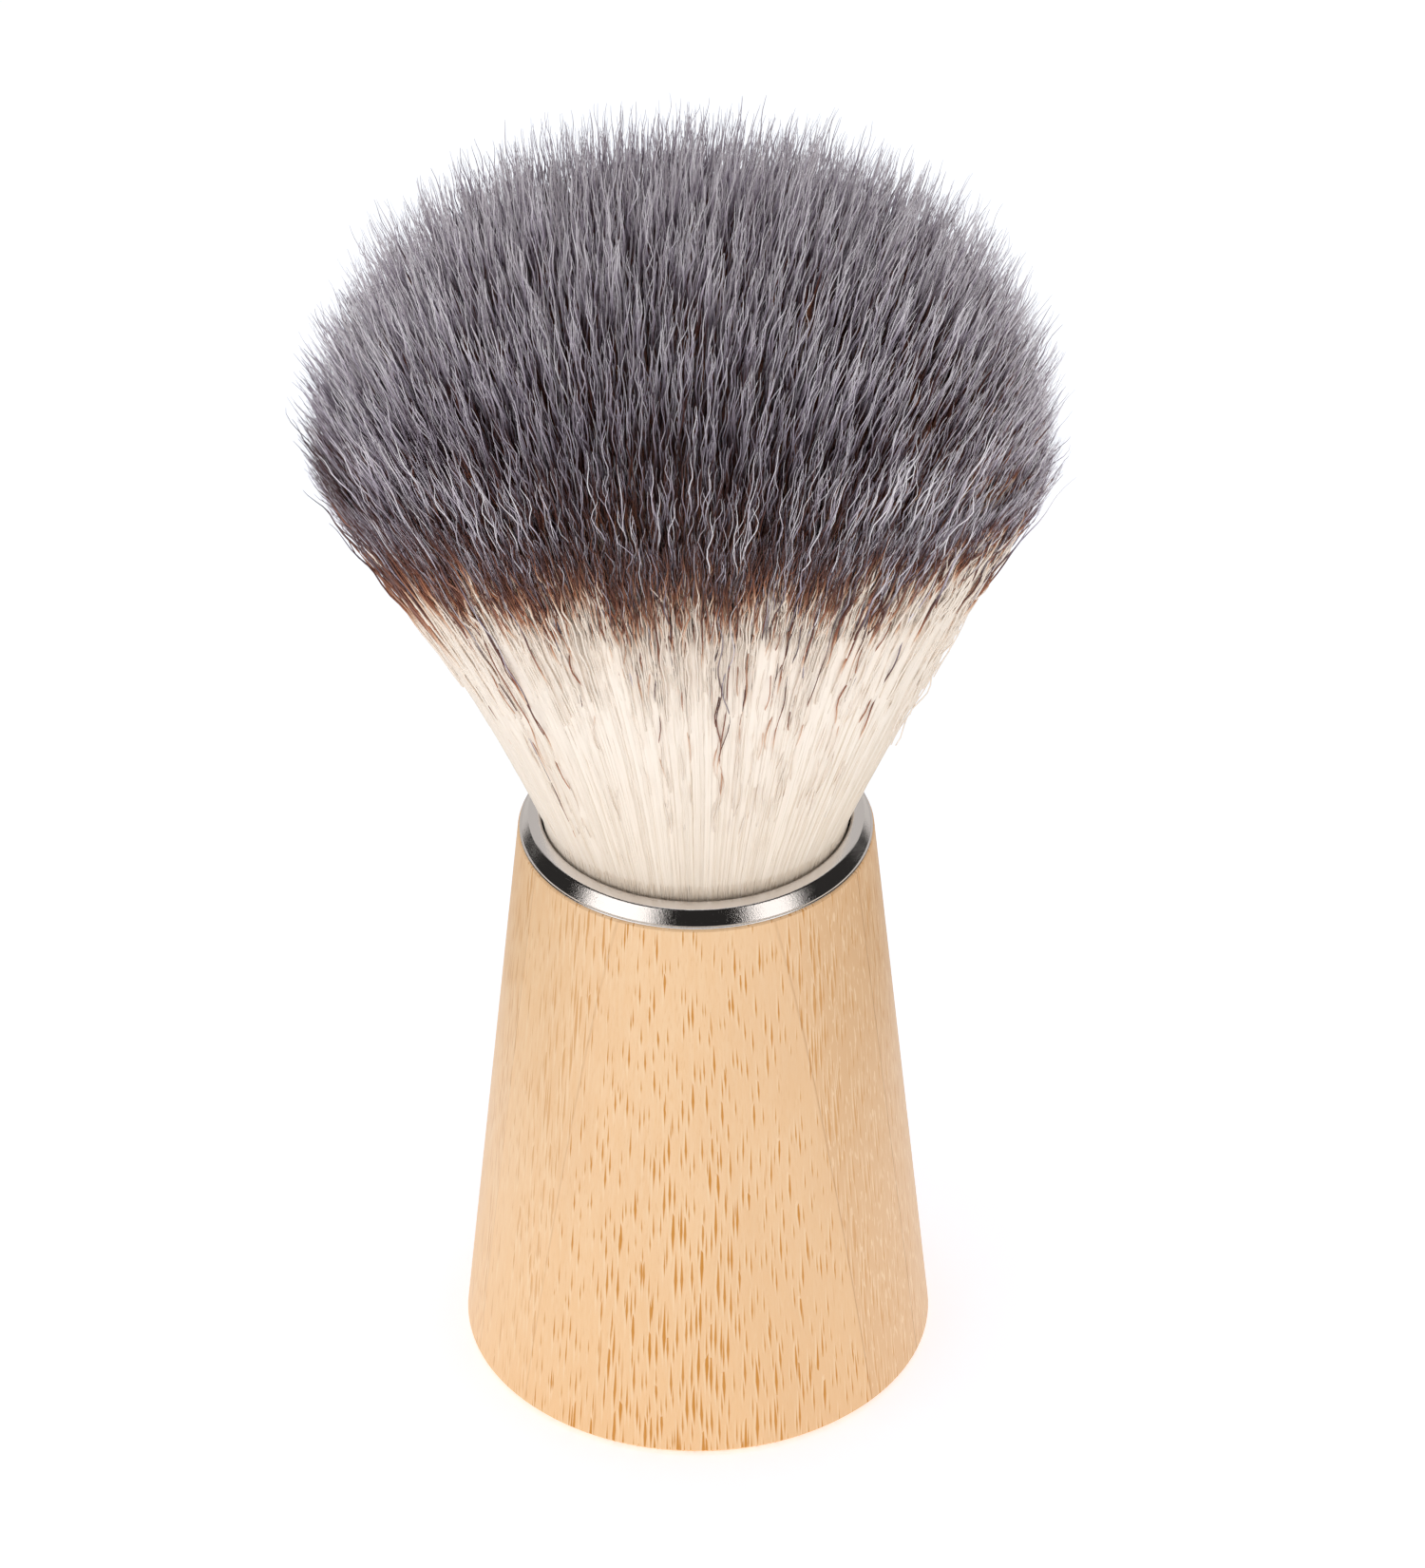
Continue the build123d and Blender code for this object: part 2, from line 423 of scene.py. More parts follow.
@dataclass(frozen=True)
class DyeMap:
    """Lays the dye along a hair into a texture: one column of tone, one row of distance."""

    layer: str = "OFBake"
    columns: int = 128
    near: float = 20.0  # the part near the tip, which the bands are in, gets most of the height
    far: float = 60.0
    near_share: float = 0.7
    margin: float = 0.006  # kept free at the top and the bottom
    column_margin: float = 0.2  # kept free at the left of a column, as a share of it
    end_lift: float = 0.004  # from the last ring of a hair to the point of its end

    def row(self, distance: Any) -> Any:
        """Turn a distance from the tip into a height in the texture, where the tip is on top.

        Args:
            distance: Distance from the tip in millimetres, as a number or an array.

        Returns:
            The height, from 0 to 1.
        """
        near = np.clip(distance, 0, self.near) / self.near * self.near_share
        far = np.clip((distance - self.near) / (self.far - self.near), 0, 1) * (1 - self.near_share)
        return 1 - self.margin - (near + far) * (1 - 2 * self.margin)

    def across(self, column: Any, share: Any) -> Any:
        """Turn a column and a share of its width, up to 0.6, into a place across the texture."""
        return (np.floor(column) + self.column_margin + share) / self.columns

    def lay(self, piece: Object, layer: Sequence[tuple[Array, Array]]) -> None:
        """Give a piece its place in the texture.

        Args:
            piece: The piece.
            layer: For each group of its faces, how far across and how far up their corners are.
        """
        rows = [np.stack(np.broadcast_arrays(u, v), axis=-1).reshape(-1, 2) for u, v in layer]
        flat = np.clip(np.concatenate(rows), 0, 1).astype(np.float32).ravel()
        piece.data.uv_layers.new(name=self.layer).uv.foreach_set("vector", flat)


@dataclass(frozen=True)
class HairFinish:
    """Dyed fibre: cream below, a rust edge, a near-black band and lavender-grey tips."""

    dye: DyeMap = DyeMap()
    roughness: float = 0.5
    dyed: Span = (16.5, 11.0)  # the band is full from here up, as a place in Shade
    tipped: Span = (8.0, 4.5)  # the same for the tips
    warm: Colour = srgb(226, 170, 128)
    dusky: Colour = srgb(160, 150, 154)
    bright: Colour = srgb(250, 246, 255)

    def build(self) -> Material:
        """Make the material.

        Returns:
            The material, which reads only the hair's own texture layer.
        """
        s = Surface("dyed_hair", Sheen_Weight=0.06, Sheen_Roughness=0.4, IOR=1.34)
        layer = s.node("ShaderNodeUVMap", {"uv_map": self.dye.layer}).outputs[0]
        u, v, _ = s.parts(layer)
        column = (u * self.dye.columns).floor()
        luck = s.node("ShaderNodeTexWhiteNoise", {"noise_dimensions": "1D"}, {"W": column})
        tone, warm, third = s.parts(luck.outputs["Color"])
        wander = s.noise(s.joined(column * 3.7, v * 30.0, 0.0), 1.0, 2.0) - 0.5
        stops = [(float(self.dye.row(shade.value[0])), shade.value[1]) for shade in Shade]
        row = v + wander * 0.03
        colour = s.node("ShaderNodeValToRGB", {"stops": stops}, {"Fac": row}).outputs[0]
        dyed, tipped = (v.step(*(float(self.dye.row(place)) for place in band))
                        for band in (self.dyed, self.tipped))
        colour = s.blend(warm.step(0.3, 1.0) * (dyed * 0.4 - tipped * 0.4 + 0.04),
                         colour, self.warm, "MULTIPLY")
        colour = s.blend(tone.step(0.3, 1.0) * (tipped * 0.6 + dyed * 0.1 + 0.02),
                         colour, self.dusky, "MULTIPLY")
        colour = s.blend(third.step(0.65, 1.0) * (dyed * 0.05 + tipped * 0.55),
                         colour, self.bright, "SCREEN")
        s.feed("Base Color", colour)
        s.feed("Roughness", self.roughness + wander * 0.1)
        return s.material


# ---------------------------------------------------------------- mesh tools
def ramp(value: Any, low: float, high: float) -> Any:
    """Rise evenly from 0 at low to 1 at high, or fall where low is above high."""
    return np.clip((value - low) / (high - low), 0, 1)


def smooth_ramp(value: Any, low: float, high: float) -> Any:
    """Rise smoothly from 0 at low to 1 at high."""
    share = ramp(value, low, high)
    return share**2 * (3 - 2 * share)


def unit(vectors: Array) -> Array:
    """Bring vectors, along the last axis, to a length of 1."""
    return vectors / np.linalg.norm(vectors, axis=-1, keepdims=True)


def polar(radius: Array | float, azimuth: Array) -> Array:
    """Turn distances from the axis and directions in radians into rows of x and y."""
    return np.stack([radius * np.cos(azimuth), radius * np.sin(azimuth)], axis=-1)


def grid_faces(rows: int, columns: int, closed: bool = True) -> Array:
    """List the quads of a grid whose points are numbered row by row.

    Args:
        rows: How many rows of points there are.
        columns: How many points each row has.
        closed: Whether the last point of a row joins the first.

    Returns:
        The points of each quad: two of one row, then the two across from them.
    """
    row, column = np.meshgrid(np.arange(rows - 1), np.arange(columns - (not closed)), indexing="ij")
    after = (column + 1) % columns
    low, high = row * columns, (row + 1) * columns
    return np.stack([low + column, low + after, high + after, high + column], axis=-1).reshape(-1, 4)


def make_object(name: str, vertices: Array, faces: Sequence[Array], material: Material) -> Object:
    """Make a smooth mesh object and put it in the scene.

    Args:
        name: The object's name.
        vertices: Points in millimetres.
        faces: Groups of faces: the points of each face, which are as many all through a group.
        material: Its material.

    Returns:
        The object, at the origin.
    """
    mesh = bpy.data.meshes.new(name)
    faces = [face for group in faces for face in group.reshape(-1, group.shape[-1]).tolist()]
    mesh.from_pydata((vertices.reshape(-1, 3) * MM).tolist(), [], faces)
    mesh.polygons.foreach_set("use_smooth", [True] * len(mesh.polygons))
    mesh.materials.append(material)
    piece = bpy.data.objects.new(name, mesh)
    bpy.context.scene.collection.objects.link(piece)
    return piece


def adopt(piece: Object, node: str) -> Object:
    """Let a piece stand for a CAD node and ride with the brush.

    Args:
        piece: The detailed piece.
        node: The CAD node that it replaces.

    Returns:
        The piece.
    """
    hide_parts(node)
    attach(piece, "root")
    LOG.info("%s: %d faces, stands for %s", piece.name, len(piece.data.polygons), node)
    return piece


def dress(node: str, material: Material) -> None:
    """Give a CAD node that keeps its own shape a new material.

    Args:
        node: The CAD node's name.
        material: The material.
    """
    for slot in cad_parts[node].material_slots:
        slot.material = material
    LOG.info("%s: keeps its CAD shape", node)


@dataclass(frozen=True)
class Outline:
    """A closed outline of (radius, height) corners, each with a rounding radius."""

    corners: tuple[tuple[float, float, float], ...]
    arc_steps: int = 5

    def points(self) -> Array:
        """Trace the outline with its corners rounded.

        Returns:
            The outline's points, one row each.
        """
        traced: list[Array] = []
        count = len(self.corners)
        for index, (*corner, radius) in enumerate(self.corners):
            here = np.array(corner)
            if radius == 0:
                traced.append(here)
                continue
            arms = [unit(np.array(self.corners[(index + side) % count][:2]) - here)
                    for side in (-1, 1)]
            half = math.acos(float(np.clip(arms[0] @ arms[1], -1, 1))) / 2
            start, end = (here + arm * radius / math.tan(half) for arm in arms)
            middle = here + unit(arms[0] + arms[1]) * radius / math.sin(half)
            for share in np.arange(self.arc_steps + 1) / self.arc_steps:
                spoke = (start - middle) * (1 - share) + (end - middle) * share
                traced.append(middle + unit(spoke) * radius)
        return np.array(traced)

    def turned(self, segments: int) -> tuple[Array, Array]:
        """Turn the outline round the axis into a closed ring.

        Args:
            segments: How many steps one turn has.

        Returns:
            The ring's points and its faces.
        """
        outline = self.points()
        width = len(outline)
        turn = np.arange(segments)[:, None] * 2 * math.pi / segments
        height = np.broadcast_to(outline[:, 1], (segments, width))
        points = np.dstack([polar(outline[:, 0], turn), height])
        along, segment = np.meshgrid(np.arange(width), np.arange(segments))
        after, beyond = (along + 1) % width, (segment + 1) % segments
        faces = np.stack([segment * width + along, beyond * width + along,
                          beyond * width + after, segment * width + after], axis=2)
        return points, faces


# ---------------------------------------------------------------- sub-assemblies
@dataclass
class Handle:
    """The turned handle: glued strips of bamboo that are CAD nodes of their own."""

    strips: int = 6
    finish: BambooFinish = BambooFinish()

    def build(self) -> None:
        """Dress every strip in the one bamboo finish that runs through the block."""
        bamboo = self.finish.build()
        for index in range(1, self.strips + 1):
            dress(f"bamboo_strip_{index}", bamboo)


@dataclass
class Collar:
    """The polished ring: a skirt in the wood, a thin flange and a bead that holds the knot."""

    bore: float = 12.2
    skirt: float = 12.8
    skirt_depth: float = 5.0
    flange: float = 13.93
    flange_rise: float = 0.22
    foot_inset: float = 0.14  # from the edge of the flange to the foot of the bead
    foot_rise: float = 0.24
    bead_lean: float = 0.57  # from the foot of the bead in to its shoulder
    bead_fall: float = 0.29  # from the lip down to the bead's shoulder
    wood_top: float = 48.8
    lip: float = 50.5
    segments: int = 320
    finish: ChromeFinish = ChromeFinish()

    def build(self) -> Object:
        """Turn the ring from its rounded outline.

        Returns:
            The ring.
        """
        top = self.wood_top
        foot = self.flange - self.foot_inset
        outline = Outline((
            (self.bore, top - self.skirt_depth, 0.0),
            (self.skirt, top - self.skirt_depth, 0.15),
            (self.skirt, top, 0.0),
            (self.flange, top, 0.0),
            (self.flange, top + self.flange_rise, 0.07),
            (foot, top + self.foot_rise, 0.05),
            (foot - self.bead_lean, self.lip - self.bead_fall, 0.3),
            (self.bore, self.lip, 0.24),
        ))
        points, faces = outline.turned(self.segments)
        ring = make_object("collar_ring", points, [faces], self.finish.build())
        return adopt(ring, "collar")


@dataclass
class KnotRoot:
    """What holds the knot in the handle: its resin-bound root and the bed of adhesive."""

    finish: ResinFinish = ResinFinish()

    def build(self) -> None:
        """Dress the two hidden pieces."""
        resin = self.finish.build()
        for node in ("knot_root", "knot_glue"):
            dress(node, resin)


@dataclass(frozen=True)
class Fan:
    """The shape that the bundle opens into, in millimetres above the collar's lip."""

    lip: float = 50.5
    bundle: float = 11.9  # radius at the lip
    half_width: float = 28.9
    half_depth: float = 22.8
    side_rim: float = 34.6
    front_rim: float = 40.0
    crown: float = 61.0
    roundness: float = 0.88
    opening: float = 0.41  # slope of the side at the lip
    lean: float = -0.7  # how far to the side the fan stands
    lean_rise: Span = (8.0, 38.0)  # heights between which it comes to stand there
    crest_lean: float = 1.3  # how far the crown leans back the other way
    limit: Span = (30.9, 24.5)  # how far out hairs may reach, along x and y

    def reach(self, height: Array) -> tuple[Array, Array]:
        """Find how far the bundle reaches at a height.

        Args:
            height: Heights above the lip.

        Returns:
            Half the bundle's width and half its depth.
        """
        above = np.maximum(height, 0)
        growth = (self.half_width - self.bundle - self.opening * self.side_rim) / self.side_rim**2
        opened = self.opening * above + growth * above**2
        at_front = self.opening * self.front_rim + growth * self.front_rim**2
        share = (self.half_depth - self.bundle) / at_front
        return self.bundle + opened, self.bundle + opened * share

    def tip(self, rho: Array, azimuth: Array) -> Array:
        """Find the height of the dome over a place in the bundle.

        Args:
            rho: Distance from the bundle's middle, 1 at its edge.
            azimuth: Direction from the middle in radians.

        Returns:
            Heights above the lip.
        """
        rim = self.side_rim + (self.front_rim - self.side_rim) * np.sin(azimuth) ** 2
        inside = np.clip(1 - rho**2, 0, 1)
        return rim + (self.crown - rim) * inside**self.roundness

    def place(self, flat: Array, height: Array) -> Array:
        """Move places in the bundle out to where the fan carries them.

        Args:
            flat: Places in the bundle, with an edge of radius 1; the last axis is x and y.
            height: Heights above the lip.

        Returns:
            Points in millimetres.
        """
        half_width, half_depth = self.reach(height)
        x = flat[..., 0] * half_width + self.lean * smooth_ramp(height, *self.lean_rise)
        x += self.crest_lean * ramp(height, self.front_rim, self.crown) ** 2
        return np.stack([x, flat[..., 1] * half_depth, height + self.lip], axis=-1)


@dataclass(frozen=True)
class Heart:
    """The closed body of the bundle behind the outer hairs, ribbed and dyed as they are."""

    foot: float = -3.0  # its lower end, above the lip
    edge: float = 1.0  # radius of its wall, where 1 is the edge of the bundle
    shoulder: float = 0.83  # the same at the top of the wall
    draw: Span = (-12.0, -4.0)  # heights above the rim between which it draws in
    dome: tuple[float, ...] = (0.97, 0.88, 0.7, 0.5, 0.3, 0.12)  # rings, as shares of the shoulder
    sunk: float = 12.0  # how deep its dome lies under the tips
    turns: int = 900
    rows: int = 30
    rib: float = 0.0012  # how far every other line of points stands out, as a share
    ragged: float = 0.03  # how far the dye wanders from rib to rib, in the texture
    ragged_turns: Span = (2.4, 37.7)  # from one rib to the next, in radians of its two waves
    dye_start: float = 6.0  # the place in Shade of its rim
    dye_rate: float = 1.1
    dye_least: float = 3.5
    column_step: int = 89  # columns of tone from one rib to the next

    def build(self, fan: Fan, dye: DyeMap, material: Material) -> Object:
        """Make the body.

        Args:
            fan: The shape that the bundle opens into.
            dye: Where each distance from the tip lies in the texture.
            material: The hair's material.

        Returns:
            The body.
        """
        azimuth = np.arange(self.turns) * 2 * math.pi / self.turns
        rim = fan.tip(np.ones(self.turns), azimuth)
        top = fan.tip(np.full(self.turns, self.shoulder), azimuth) - self.sunk
        wall = self.foot + (top - self.foot) * np.linspace(0, 1, self.rows)[:, None]
        rho = self.edge - (self.edge - self.shoulder) * smooth_ramp(wall - rim, *self.draw)
        rho = rho * (1 + self.rib * (1 - 2 * (np.arange(self.turns) % 2)))
        reach = self.shoulder * np.array(self.dome)[:, None]
        dome = fan.tip(reach, azimuth[None]) - self.sunk
        height = np.concatenate([wall, dome])
        rho = np.concatenate([rho, np.broadcast_to(reach, dome.shape)])
        points = fan.place(polar(rho, azimuth), height)
        row = dye.row(np.maximum(rim - height, self.dye_least) * self.dye_rate + self.dye_start)
        return self._wrap(points, row, dye, material)

    def _wrap(self, points: Array, row: Array, dye: DyeMap, material: Material) -> Object:
        """Close rings of points into a body, with a hair's width of texture to each rib.

        Args:
            points: Rings of points from the foot up.
            row: Each point's height in the texture.
            dye: The texture's layout.
            material: The hair's material.

        Returns:
            The body, standing for the bristles.
        """
        levels, turns = row.shape
        quads = grid_faces(levels, turns)
        around = np.arange(turns)
        following = (around + 1) % turns
        crown, foot = np.full(turns, levels * turns), np.full(turns, levels * turns + 1)
        above = (levels - 1) * turns
        top = np.stack([above + around, above + following, crown], axis=-1)
        base = np.stack([following, around, foot], axis=-1)

        column = around * self.column_step % dye.columns
        left, middle, right = (dye.across(column, share) for share in (0.0, 0.3, 0.6))
        long_turn, short_turn = self.ragged_turns
        slip = self.ragged * np.sin(around * long_turn) * np.sin(around * short_turn)
        rib = quads[:, 0] % turns
        u = np.stack([left, right, right, left], axis=-1)[rib]
        layer = [(u, row.ravel()[quads] + slip[rib, None])]
        for edge, lift, sides in ((row[-1], dye.end_lift, (left, right)),
                                  (row[0], -dye.end_lift, (right, left))):
            u, v = np.stack([*sides, middle], axis=-1), np.stack([edge, edge, edge + lift], axis=-1)
            layer.append((u, v))
        middles = [points[-1].mean(axis=0), points[0].mean(axis=0)]
        points = np.concatenate([points.reshape(-1, 3), middles])
        heart = make_object("hair_heart", points, [quads, top, base], material)
        dye.lay(heart, layer)
        return adopt(heart, "bristles")


@dataclass(frozen=True)
class Coat:
    """One sort of hair in the knot: where it stands, how it ends and how thick it is."""

    name: str
    count: int
    ring: Span  # from how near the bundle's middle to how near its edge, which is 1
    short: Span  # how far the tips lie under the dome
    stations: int
    length: float | None  # None for hairs that start under the lip
    thickness: float
    crimp: float  # how far the waves swing out near the tip
    pull: float  # how closely the tips lean to the middle of their lock
    splay: float  # how far the tips stray
    dye_start: float  # the place in Shade of the very tip
    dye_reach: Span = (10.3, 12.4)  # how far from the tip the cream starts
    crimp_reach: float = 13.0  # how far from the tip the waves go on
    tip_share: float = 0.18  # width of the tip as a share of the full width
    taper: float = 10.0  # how far from the tip the full width is reached
    wave: Span = (3.4, 6.0)  # from crest to crest
    arc: Span | None = None  # middle and half width in degrees, mirrored from front to back
    bend: float = 1.0  # above 1, the bands are longer near the tip; 1 for ordinary hairs


@dataclass(frozen=True)
class Dyeing:
    """How the hairs took the dye: each hair has its own bands, which luck moves up or down."""

    hair_luck: float = 0.35
    lock_luck: float = 1.4
    drip: float = 0.6  # how far the dye ran down, times a draw that is 1 on average
    drip_mean: float = 0.5  # taken back all over
    run: Span = (2.0, 3.0)  # draws past the first number ran this much further
    spared: Span = (-14.0, 2.0)  # where this draw is above 0, the bands end higher
    rim: Span = (0.7, 0.92)  # between these, from the middle, the rim begins
    right_rim: Span = (0.93, 0.98)  # the same on the right
    side_share: float = 0.8  # how much of the front rim's dye the sides have
    rim_pale: float = 0.6  # how much less dye the other tips of the rim have
    clean: float = 0.14  # the share of hairs whose tips are almost clean
    clean_dye: float = 0.1  # how much of the dye these have
    tip_luck: Span = (0.65, 1.15)  # the same for the rest of them
    rim_haste: float = 0.8  # how much shorter the bands at the front rim are
    rim_dye: float = 6.2  # how much darker the tips at the rim are
    pale_tips: float = 0.35  # the share of hairs at the rim that aren't
    right_dye: float = 10.0  # how much higher the bands on the far right end
    right_pale: float = 5.2  # how much paler the tips on the right are
    pale_reach: float = 4.0  # how much paler the tips in the middle are
    middle: Span = (0.2, 0.7)  # between these, from the middle, that ends
    onset: float = 4.0  # how far from the tip luck has its full effect
    creep: float = 0.001  # what keeps the dye from standing still along a hair

    def spread(self, coat: Coat, rho: Array, azimuth: Array, lock: Array, locks: int,
               distance: Array, rng: Luck) -> tuple[Array, Array]:
        """Dye the hairs of a coat.

        Args:
            coat: The sort of hair.
            rho: Each hair's distance from the bundle's middle, 1 at its edge.
            azimuth: Each hair's direction from the middle in radians.
            lock: The lock of each hair.
            locks: How many locks there are.
            distance: Distance of each station from the tip.
            rng: Source of luck.

        Returns:
            The place in Shade of each station, and how far luck moves each hair's bands up.
        """
        count = coat.count
        luck = rng.normal(0, self.hair_luck, count) + rng.normal(0, self.lock_luck, locks)[lock]
        drip = rng.exponential(1.0, count)
        luck -= drip * self.drip + np.maximum(drip - self.run[0], 0) * self.run[1] - self.drip_mean
        luck += np.maximum(rng.uniform(*self.spared, count), 0)
        right = np.maximum(np.cos(azimuth), 0)
        luck += self.right_dye * np.minimum(right * 1.25, 1) ** 4 * rho**2

        front = np.abs(np.sin(azimuth))
        edge = ramp(rho, *self.rim)
        skirt = np.where(np.cos(azimuth) < 0, 1.0, ramp(rho, *self.right_rim))
        sides = np.maximum(front, self.side_share * skirt * edge)
        start = coat.dye_start * (1 - self.rim_pale * edge * (1 - sides))
        clean = rng.uniform(0, 1, count) < self.clean
        start *= np.where(clean, self.clean_dye, rng.uniform(*self.tip_luck, count))
        ordinary = coat.bend == 1
        start += self.rim_dye * edge * sides * (rng.uniform(0, 1, count) > self.pale_tips) * ordinary
        start -= self.pale_reach * (1 - sides * ramp(rho, *self.middle))
        start -= self.right_pale * right * rho**2
        haste = self.rim_haste * edge * front**2 * ordinary
        reach = rng.uniform(*coat.dye_reach, count) / (1 + haste)
        start, share = start[:, None], (distance / reach[:, None]) ** coat.bend
        dyed = start + (Shade.CREAM.value[0] - start) * share
        dyed += luck[:, None] * ramp(distance, 0, self.onset)
        return np.maximum(dyed, 0) + distance * self.creep, luck


@dataclass
class Hairs:
    """Closed hairs with three sides, laid out from the tip down: one row of stations each."""

    centres: Array
    radii: Array
    dyed: Array  # the place of each station in Shade
    column: Array  # each hair's column of tone
    sides: int = 3

    def split(self, most: int) -> "list[Hairs]":
        """Share the hairs out by their direction from the axis.

        Args:
            most: The most triangles that a group may have.

        Returns:
            As few groups of hairs as that takes.
        """
        order = np.argsort(np.arctan2(self.centres[:, 0, 1], self.centres[:, 0, 0]))
        groups = np.array_split(order, math.ceil(self.radii.size * self.sides * 2 / most))
        return [Hairs(self.centres[rows], self.radii[rows], self.dyed[rows], self.column[rows])
                for rows in groups]

    def build(self, name: str, dye: DyeMap, material: Material) -> Object:
        """Make the hairs one piece.

        Args:
            name: The piece's name.
            dye: The texture's layout.
            material: The hair's material.

        Returns:
            The piece, standing for the bristles.
        """
        faces, layer = self._tubes(dye)
        piece = make_object(name, self._rings(), faces, material)
        dye.lay(piece, layer)
        return adopt(piece, "bristles")

    def _rings(self) -> Array:
        """Set a ring of points round each station, and a point off either end of each hair.

        Returns:
            The points of each hair: its rings from the tip down, then the ends.
        """
        run = unit(np.gradient(self.centres, axis=1))
        outward = unit(self.centres * (1, 1, 0))
        first = unit(outward - (outward * run).sum(-1, keepdims=True) * run)
        second = np.cross(run, first)
        angle = (np.arange(self.sides) * 2 * math.pi / self.sides)[:, None]
        ring = first[:, :, None] * np.cos(angle) + second[:, :, None] * np.sin(angle)
        rings = self.centres[:, :, None] + ring * self.radii[:, :, None, None]
        # A tip runs out over four of its radii, the other end over one.
        ends = self.centres[:, (0, -1)] + run[:, (0, -1)] * self.radii[:, (0, -1), None] * ((-4,), (1,))
        return np.concatenate([rings.reshape(len(rings), -1, 3), ends], axis=1)

    def _tubes(self, dye: DyeMap) -> tuple[list[Array], list[tuple[Array, Array]]]:
        """Wrap a wall and two ends round each centre line.

        Args:
            dye: The texture's layout.

        Returns:
            The wall's faces and each end's, and where their corners are in the texture.
        """
        sides, (count, stations) = self.sides, self.radii.shape
        first = (np.arange(count) * (stations * sides + 2))[:, None, None]
        # Across its column, a hair has a place for each side and one for the points of its ends.
        u = dye.across(self.column[:, None], np.array([0.0, 0.3, 0.6, 0.32]))
        v = dye.row(self.dyed)
        wall = grid_faces(stations, sides)
        faces, layer = [first + wall], [(u[:, wall % sides], v[:, wall // sides])]

        side = np.arange(sides)
        pair = np.stack([(side + 1) % sides, side], axis=-1)
        apex = np.full((sides, 1), sides)
        for end, (station, lift) in enumerate(((0, dye.end_lift), (stations - 1, -dye.end_lift))):
            corners = np.hstack([pair[:, ::1 - 2 * end], apex])
            cap = corners + np.where(corners == sides, (stations - 1) * sides + end, station * sides)
            faces.append(first + cap)
            layer.append((u[:, corners], v[:, station, None, None] + np.array([0, 0, lift])))
        return faces, layer


